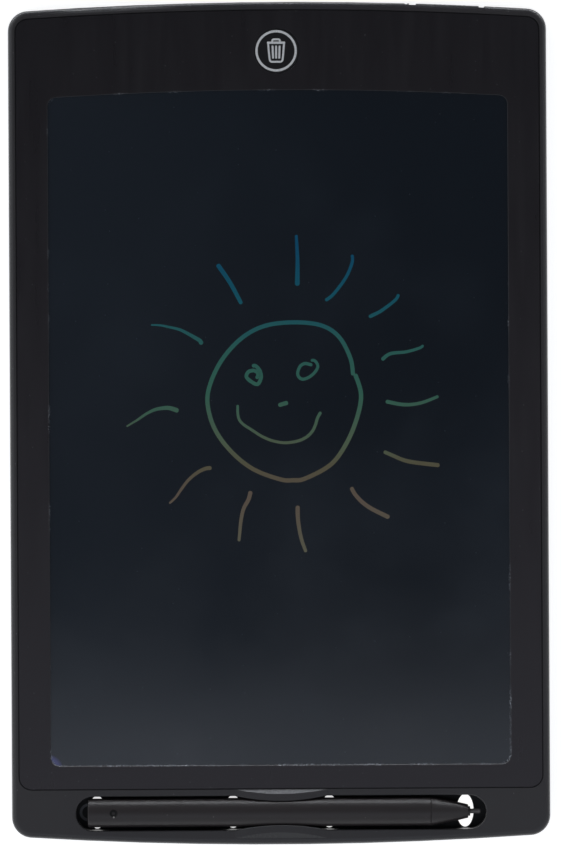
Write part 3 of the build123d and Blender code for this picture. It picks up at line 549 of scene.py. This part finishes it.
# The drawing: a round face with rays, in millimetres from the tablet's middle, drawn in free hand.
# Each stroke is its points with its width at the first and the last of them.
sunStrokes = {
    "round": (1.0, 1.05, ((20.0, 12.7), (19.3, 17.4), (16.2, 23.2), (11.3, 26.3), (3.6, 27.1), (-4.0, 26.1),
                          (-10.1, 22.8), (-15.3, 17.1), (-18.5, 10.5), (-19.2, 5.1), (-17.3, -1.5),
                          (-13.0, -7.5), (-7.1, -12.3), (0.1, -15.1), (3.7, -15.4), (7.1, -14.9),
                          (14.0, -11.1), (18.4, -5.0), (21.2, 2.0), (22.1, 7.8), (20.5, 13.2))),
    "leftEye": (0.9, 0.9, ((-7.2, 15.2), (-6.4, 15.5), (-5.4, 14.6), (-4.8, 13.2), (-4.9, 11.8), (-5.8, 10.5),
                           (-7.4, 11.2), (-8.7, 12.5), (-8.2, 13.8), (-6.9, 14.2), (-5.8, 13.7),
                           (-5.6, 12.6), (-6.3, 12.2))),
    "rightEye": (0.7, 0.8, ((8.6, 16.8), (9.6, 16.8), (10.4, 15.8), (10.4, 14.7), (9.4, 13.3), (7.9, 12.2),
                            (6.4, 11.8), (5.4, 12.4), (5.1, 13.6), (5.8, 15.3), (7.0, 16.0), (8.2, 15.8),
                            (9.1, 15.5))),
    "nose": (0.95, 1.05, ((-0.2, 4.7), (1.2, 5.2), (2.5, 5.5))),
    "mouth": (0.65, 0.75, ((-11.1, 5.0), (-11.1, 2.7), (-10.7, 1.0), (-9.6, -0.3), (-7.5, -1.7), (-4.7, -3.5),
                           (-1.9, -4.7), (1.5, -5.3), (4.8, -4.9), (7.2, -3.9), (8.9, -2.3), (9.8, -0.5),
                           (10.4, 1.4), (11.3, 3.0))),
    "ray1": (1.1, 0.95, ((-16.4, 42.9), (-13.0, 37.9), (-9.9, 32.1))),
    "ray2": (0.7, 1.15, ((4.9, 50.7), (5.2, 44.0), (5.1, 36.9))),
    "ray3": (0.75, 0.8, ((19.9, 45.3), (19.9, 43.1), (18.2, 39.1), (14.9, 34.7), (12.6, 32.9))),
    "ray4": (0.7, 0.9, ((32.4, 34.6), (31.5, 33.0), (28.0, 30.3), (26.0, 29.2), (24.3, 28.4))),
    "ray5": (0.6, 0.9, ((39.0, 20.8), (37.9, 20.0), (34.3, 19.0), (30.0, 18.5), (27.7, 16.8))),
    "ray6": (0.7, 0.95, ((43.0, 7.0), (38.1, 5.2), (33.6, 4.8), (28.7, 5.7))),
    "ray7": (1.0, 0.9, ((43.2, -11.6), (36.5, -10.8), (33.4, -10.1), (30.6, -8.9), (28.1, -7.8))),
    "ray8": (1.05, 0.95, ((29.6, -25.6), (25.0, -23.3), (22.3, -21.4), (20.3, -19.2), (19.3, -17.3))),
    "ray9": (0.8, 1.05, ((7.1, -34.8), (5.9, -31.4), (5.2, -27.9), (4.9, -25.0), (4.9, -22.2))),
    "ray10": (0.7, 1.05, ((-11.0, -31.8), (-10.7, -29.0), (-10.4, -26.2), (-9.7, -23.1), (-8.3, -20.4),
                          (-7.7, -18.2))),
    "ray11": (0.5, 1.0, ((-29.7, -21.5), (-27.9, -19.8), (-26.3, -17.5), (-24.4, -15.1), (-21.9, -13.1),
                         (-19.7, -12.1), (-18.2, -12.0))),
    "ray12": (0.4, 1.15, ((-41.1, -0.7), (-38.4, 0.9), (-35.7, 2.7), (-33.4, 3.8), (-31.3, 4.2),
                          (-29.4, 4.2), (-27.0, 3.4))),
    "ray13": (0.4, 1.1, ((-34.4, 26.6), (-31.9, 26.5), (-29.4, 26.0), (-26.6, 25.3), (-24.2, 24.1),
                         (-22.3, 23.0), (-21.1, 22.2), (-20.8, 21.2))),
}


def tapered(first, last, points):
    # Widths run evenly from the first point's to the last's, over a little bleed of the crystal
    count = len(points) - 1
    bleed = traceLook["bleed"]
    return [(x, y, (first + (last - first) * i / count) * bleed) for i, (x, y) in enumerate(points)]


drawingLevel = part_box("lcd_film")[1].z + traceLift
sunLines = drawnLines("screen_drawing", [tapered(*stroke) for stroke in sunStrokes.values()], drawingLevel)
drawing = runTree(sunLines, ribbonTree, traceRibbon, "screen_drawing")
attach(drawing, "tablet")
print("drawing done,", len(drawing.data.polygons), "faces")


# Print on the erase button: a ring round a waste bin

# The last two entries set the painted shade in corners and recesses, as for the other plastics
buttonLook = {
    "colour": "#161517", "edge": "#242527", "cloud": "#19181a", "roughness": 0.33, "edgeRoughness": 0.3,
    "grainMm": 0.5, "grainDepthMm": 0.006, "wearMm": 1.5, "dustMm": 6.0, "dust": "#6d6f70",
    "recessShadeMm": 0.4, "recessShade": "#0b0a0b",
}
printLook = {"colour": "#e9eaea", "worn": "#b9bbbc", "roughness": 0.45, "speckleMm": 0.35}
binPrint = {
    "ringR": 5.27, "line": 0.62, "thin": 0.52, "rib": 0.54, "top": 2.18, "halfLid": 2.5,
    "halfTop": 2.15, "halfFoot": 1.73, "foot": -2.95, "corner": 0.6, "ribTop": 1.45, "ribFoot": -2.15,
    "ribSpread": 0.89, "handleHalf": 1.0, "handleTop": 3.05, "shift": -0.24,
}


def padInk(name, look):
    # Pad-printed white ink: matt and dense, a little thin in places where thumbs have rubbed it
    material, tree, shader, place = startMaterial(name)
    at = place.outputs["Object"]
    patchy = addNode(tree, "ShaderNodeTexNoise",
                     inputs={"Vector": at, "Scale": per(look["speckleMm"]), "Detail": 3.0})
    share = addNode(tree, "ShaderNodeMapRange", inputs={0: patchy.outputs[0], 1: 0.5, 2: 0.8})
    colour = addNode(tree, "ShaderNodeMix", {"data_type": "RGBA"},
                     {0: share.outputs[0], 6: linear(look["colour"]), 7: linear(look["worn"])})
    roughness = addNode(tree, "ShaderNodeMapRange",
                        inputs={0: patchy.outputs[0], 3: look["roughness"], 4: look["roughness"] + 0.15})
    bump = addNode(tree, "ShaderNodeBump",
                   inputs={"Strength": 0.2, "Distance": 0.005 * mm, "Height": patchy.outputs[0]})
    tree.links.new(colour.outputs[2], shader.inputs["Base Color"])
    tree.links.new(roughness.outputs[0], shader.inputs["Roughness"])
    tree.links.new(bump.outputs[0], shader.inputs["Normal"])
    return material


def binStrokes(look):
    # The ring, the bin's lid and handle, its body with rounded lower corners, and three ribs
    low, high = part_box("erase_button")
    x, y = (low.x + high.x) / 2 / mm + look["shift"], (low.y + high.y) / 2 / mm
    turns = [2 * pi * step / 48 for step in range(50)]
    strokes = [[(x + look["ringR"] * cos(a), y + look["ringR"] * sin(a), look["line"]) for a in turns]]
    lid = look["top"]
    strokes.append([(x + look["halfLid"] * side, y + lid, look["line"]) for side in (-1, 0, 1)])
    half, top, soft = look["handleHalf"], look["handleTop"], look["corner"] / 2
    handle = ((-half, lid), (-half, top - soft), (soft - half, top), (half - soft, top), (half, top - soft),
              (half, lid))
    strokes.append([(x + u, y + v, look["thin"]) for u, v in handle])
    wide, narrow, foot, bend = look["halfTop"], look["halfFoot"], look["foot"], look["corner"]
    body = [(-wide, lid), (-(wide + narrow) / 2, (lid + foot) / 2), (-narrow, foot + bend),
            (bend / 3 - narrow, foot + bend / 3), (bend - narrow, foot), (0, foot)]
    body += [(-u, v) for u, v in reversed(body[:-1])]
    strokes.append([(x + u, y + v, look["thin"]) for u, v in body])
    spread = look["ribSpread"]
    for side in (-1, 0, 1):
        ends = ((side * spread * 1.08, look["ribTop"]), (side * spread * 0.92, look["ribFoot"]))
        strokes.append([(x + u, y + v, look["rib"]) for u, v in ends])
    return strokes


paint(mouldedPlastic("moulded_abs_button", buttonLook), "erase_button")
printRibbon = {"Step": 0.1 * mm, "Flatness": 0.04, "Finish": padInk("pad_printed_ink", printLook)}
printLift = 0.008 * mm
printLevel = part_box("erase_button")[1].z + printLift
printLines = drawnLines("button_print", binStrokes(binPrint), printLevel)
buttonPrint = runTree(printLines, ribbonTree, printRibbon, "button_print")
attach(buttonPrint, "button")
print("button print done")


# Nib and what lies inside the case

nibLook = {"rod": "#5a5756", "point": "#6c6968", "rubbedMm": 1.2, "grainMm": 0.3, "grainDepthMm": 0.008}


def nibPlastic(name, look):
    # Acetal, turned and polished by use: a grey waxy rod whose point is rubbed paler
    material, tree, shader, place = startMaterial(name)
    at = place.outputs["Object"]
    where = addNode(tree, "ShaderNodeSeparateXYZ", inputs={0: at})
    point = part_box("stylus_nib")[1].x
    tip = addNode(tree, "ShaderNodeMapRange",
                  inputs={0: where.outputs["X"], 1: point - look["rubbedMm"] * mm, 2: point})
    colour = addNode(tree, "ShaderNodeMix", {"data_type": "RGBA"},
                     {0: tip.outputs[0], 6: linear(look["rod"]), 7: linear(look["point"])})
    fine = addNode(tree, "ShaderNodeTexNoise",
                   inputs={"Vector": at, "Scale": per(look["grainMm"]), "Detail": 2.0})
    roughness = addNode(tree, "ShaderNodeMapRange", inputs={0: fine.outputs[0], 3: 0.3, 4: 0.42})
    bump = addNode(tree, "ShaderNodeBump",
                   inputs={"Strength": 0.3, "Distance": look["grainDepthMm"] * mm, "Height": fine.outputs[0]})
    tree.links.new(colour.outputs[2], shader.inputs["Base Color"])
    tree.links.new(roughness.outputs[0], shader.inputs["Roughness"])
    tree.links.new(bump.outputs[0], shader.inputs["Normal"])
    shader.inputs["IOR"].default_value = 1.48
    return material


innerFinishes = {
    # slot: name, colour, second colour, pattern mm, stretch, metallic, roughness, IOR, bump mm
    "screwSteel": ("zinc_plated_steel", "#a9aaa8", "#8d8e8c", 0.8, (1, 1, 1), 1.0, 0.32, None, 0.006),
    "cellSteel": ("brushed_stainless_steel", "#b9bab9", "#a3a4a2", 0.7, (1, 0.06, 1), 1.0, 0.28, None, 0.004),
    "springSteel": ("nickel_plated_steel", "#b4afa6", "#9e9990", 0.9, (1, 1, 1), 1.0, 0.25, None, 0.004),
    "board": ("fibreglass_board", "#0f4a2c", "#0b3b22", 0.5, (1, 1, 1), 0.0, 0.38, 1.5, 0.01),
    "chip": ("epoxy_chip_package", "#161617", "#1d1d1e", 0.25, (1, 1, 1), 0.0, 0.6, 1.55, 0.008),
    "ferrite": ("sintered_ferrite", "#2b2b2d", "#39393b", 0.3, (1, 1, 1), 0.0, 0.55, 1.6, 0.012),
    "ceramic": ("fired_ceramic", "#a48c6c", "#94795a", 0.3, (1, 1, 1), 0.0, 0.42, 1.6, 0.006),
    "switchBody": ("glass_filled_nylon", "#1b1b1c", "#262627", 0.3, (1, 1, 1), 0.0, 0.52, 1.53, 0.01),
    "tape": ("double_sided_foam_tape", "#202122", "#2a2b2c", 0.4, (1, 1, 1), 0.0, 0.8, 1.45, 0.02),
    "blackFilm": ("black_coated_film", "#0c0c0d", "#121213", 3.0, (1, 1, 1), 0.0, 0.5, 1.5, 0.004),
    "tailFilm": ("polyimide_flex", "#a4642a", "#8e5322", 0.6, (1, 0.1, 1), 0.0, 0.3, 1.6, 0.004),
}


def innerFinish(name, colour, second, patternMm, stretch, metallic, roughness, ior, bumpMm):
    # One pattern mottles the colour, the gloss and the surface, drawn out along Y where the real one
    # is brushed or etched that way
    material, tree, shader, place = startMaterial(name)
    drawn = addNode(tree, "ShaderNodeMapping", inputs={"Vector": place.outputs["Object"], "Scale": stretch})
    pattern = addNode(tree, "ShaderNodeTexNoise",
                      inputs={"Vector": drawn.outputs[0], "Scale": per(patternMm), "Detail": 4.0})
    mix = addNode(tree, "ShaderNodeMix", {"data_type": "RGBA"},
                  {0: pattern.outputs[0], 6: linear(colour), 7: linear(second)})
    gloss = addNode(tree, "ShaderNodeMapRange",
                    inputs={0: pattern.outputs[0], 1: 0.3, 2: 0.7, 3: roughness - 0.05, 4: roughness + 0.08})
    bump = addNode(tree, "ShaderNodeBump",
                   inputs={"Strength": 0.4, "Distance": bumpMm * mm, "Height": pattern.outputs[0]})
    tree.links.new(mix.outputs[2], shader.inputs["Base Color"])
    tree.links.new(gloss.outputs[0], shader.inputs["Roughness"])
    tree.links.new(bump.outputs[0], shader.inputs["Normal"])
    shader.inputs["Metallic"].default_value = metallic
    if ior:
        shader.inputs["IOR"].default_value = ior
    return material


finishes = {key: innerFinish(*look) for key, look in innerFinishes.items()}
paint(nibPlastic("polished_acetal", nibLook), "stylus_nib")
paint(finishes["screwSteel"], "board_screws", "door_screw")
paint(finishes["cellSteel"], "coin_cell")
paint(finishes["springSteel"], "contact_positive", "contact_negative", "switch_dome")
paint(finishes["board"], "circuit_board")
paint(finishes["chip"], "driver_chip")
paint(finishes["ferrite"], "boost_inductor")
paint(finishes["ceramic"], "board_capacitors")
paint(finishes["switchBody"], "switch_housing", "switch_plunger", "slide_switch_lever",
      "slide_switch_housing")
paint(finishes["tape"], "bezel_adhesive", "film_tape")
paint(finishes["blackFilm"], "film_backing")
paint(finishes["tailFilm"], "film_tail")
print("inner finishes done")


# Floor, light and camera

studio = {
    "leftWall": 0.6, "rightWall": 0.36, "footWall": 0.5, "ceiling": 0.06, "window": 14.0, "tint": "#f6faff",
}
sheets = {
    # name: middle, half sizes, depth below the tablet, glow and share of its own shade that is seen
    "studio_floor": (0.0, 0.0, 6.0, 6.0, 0.1, 0.75, 1.0),
    # Painted light: a small card under the far right oval of the tray glows whiter than the floor around it
    "glowing_card": (0.0497, -0.1049, 0.006, 0.008, 0.05, 1.0, 0.3),
}
paperWhite = "#f4f4f3"


def studioSheet(name, x, y, halfX, halfY, depthMm, glow, shade):
    # A pale sheet that reads as white where light reaches it and keeps the tablet's soft shadow
    z = -depthMm * mm
    corners = [(x - halfX, y - halfY, z), (x + halfX, y - halfY, z), (x + halfX, y + halfY, z),
               (x - halfX, y + halfY, z)]
    mesh = bpy.data.meshes.new(name)
    mesh.from_pydata(corners, [], [(0, 1, 2, 3)])
    material = bpy.data.materials.new("pale_paper_" + name)
    material.use_nodes = True
    tree = material.node_tree
    tree.nodes.clear()
    rays = addNode(tree, "ShaderNodeLightPath")
    direct = joined(tree, "MAXIMUM", rays.outputs["Is Camera Ray"], rays.outputs["Is Glossy Ray"])
    seen = joined(tree, "MAXIMUM", direct, rays.outputs["Is Transmission Ray"])
    shining = joined(tree, "MULTIPLY", seen, glow)
    tint = addNode(tree, "ShaderNodeMix", {"data_type": "RGBA"},
                   {0: seen, 6: linear(paperWhite), 7: [shade] * 3 + [1.0]})
    paper = addNode(tree, "ShaderNodeBsdfDiffuse", inputs={"Color": tint.outputs[2]})
    shine = addNode(tree, "ShaderNodeEmission", inputs={"Strength": shining})
    both = addNode(tree, "ShaderNodeAddShader", inputs={0: paper.outputs[0], 1: shine.outputs[0]})
    addNode(tree, "ShaderNodeOutputMaterial", inputs={"Surface": both.outputs[0]})
    mesh.materials.append(material)
    sheet = bpy.data.objects.new(name, mesh)
    bpy.context.scene.collection.objects.link(sheet)


def studioWorld(look):
    # Tall pale walls on both sides and a lower one at the foot, a dim ceiling, and a long low window
    # beyond the top end
    world = bpy.data.worlds.new("studio")
    bpy.context.scene.world = world
    world.use_nodes = True
    tree = world.node_tree
    tree.nodes.clear()
    place = addNode(tree, "ShaderNodeTexCoord")
    towards = addNode(tree, "ShaderNodeSeparateXYZ", inputs={0: place.outputs["Generated"]})

    def ease(value, start, stop, first, last):
        return addNode(tree, "ShaderNodeMapRange", {"interpolation_type": "SMOOTHSTEP"},
                       {0: value, 1: start, 2: stop, 3: first, 4: last}).outputs[0]

    x, y, z = towards.outputs["X"], towards.outputs["Y"], towards.outputs["Z"]
    left = ease(x, -0.45, -0.25, look["leftWall"], 0.0)
    right = ease(x, 0.25, 0.45, 0.0, look["rightWall"])
    sides = joined(tree, "MULTIPLY", joined(tree, "MAXIMUM", left, right), ease(z, 0.8, 0.92, 1.0, 0.0))
    foot = joined(tree, "MULTIPLY", ease(y, -0.5, -0.1, look["footWall"], 0.0), ease(z, 0.45, 0.7, 1.0, 0.0))
    walls = joined(tree, "MAXIMUM", sides, foot)
    window = joined(tree, "MULTIPLY", ease(y, 0.35, 0.7, 0.0, look["window"]), ease(z, 0.0, 0.13, 1.0, 0.0))
    level = joined(tree, "ADD", joined(tree, "ADD", walls, window), look["ceiling"])
    light = addNode(tree, "ShaderNodeBackground", inputs={"Color": linear(look["tint"]), "Strength": level})
    addNode(tree, "ShaderNodeOutputWorld", inputs={"Surface": light.outputs[0]})


softLights = {
    # name: middle, what it faces, width, height, level (1 is white), colour
    "front_panel": ((0.0, -1.05, 1.75), (0, -1.05, 0), 2.2, 1.766, 0.56, "#ecf2ff"),
}


def softLight(name, middle, target, width, height, level, colour):
    # A soft box whose face is as bright as its level says
    lamp = bpy.data.lights.new(name, "AREA")
    lamp.shape = "RECTANGLE"
    lamp.size, lamp.size_y = width, height
    lamp.energy = level * pi * width * height
    lamp.color = linear(colour)[:3]
    box = bpy.data.objects.new(name, lamp)
    bpy.context.scene.collection.objects.link(box)
    box.location = middle
    box.rotation_euler = (Vector(target) - Vector(middle)).to_track_quat("-Z", "Y").to_euler()


cameraLook = {
    "height": 1.45, "shiftXMm": 0.66, "shiftYMm": -0.11, "turn": -0.316, "longSideMm": 227.95, "sensor": 36.0,
}


def photoCamera(look):
    # Straight above the screen, as far off as the photograph's slight perspective asks
    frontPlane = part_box("bezel_sheet")[1].z
    data = bpy.data.cameras.new("photo_camera")
    data.sensor_fit = "AUTO"
    data.sensor_width = look["sensor"]
    data.lens = look["sensor"] * look["height"] / (look["longSideMm"] * mm)
    data.clip_start, data.clip_end = 0.05, 50.0
    camera = bpy.data.objects.new("photo_camera", data)
    bpy.context.scene.collection.objects.link(camera)
    camera.location = (look["shiftXMm"] * mm, look["shiftYMm"] * mm, frontPlane + look["height"])
    camera.rotation_euler = (0, 0, radians(look["turn"]))
    bpy.context.scene.camera = camera


for name, settings in sheets.items():
    studioSheet(name, *settings)
studioWorld(studio)
for name, settings in softLights.items():
    softLight(name, *settings)
photoCamera(cameraLook)
bpy.context.scene.view_settings.view_transform = "Standard"
print("studio done")
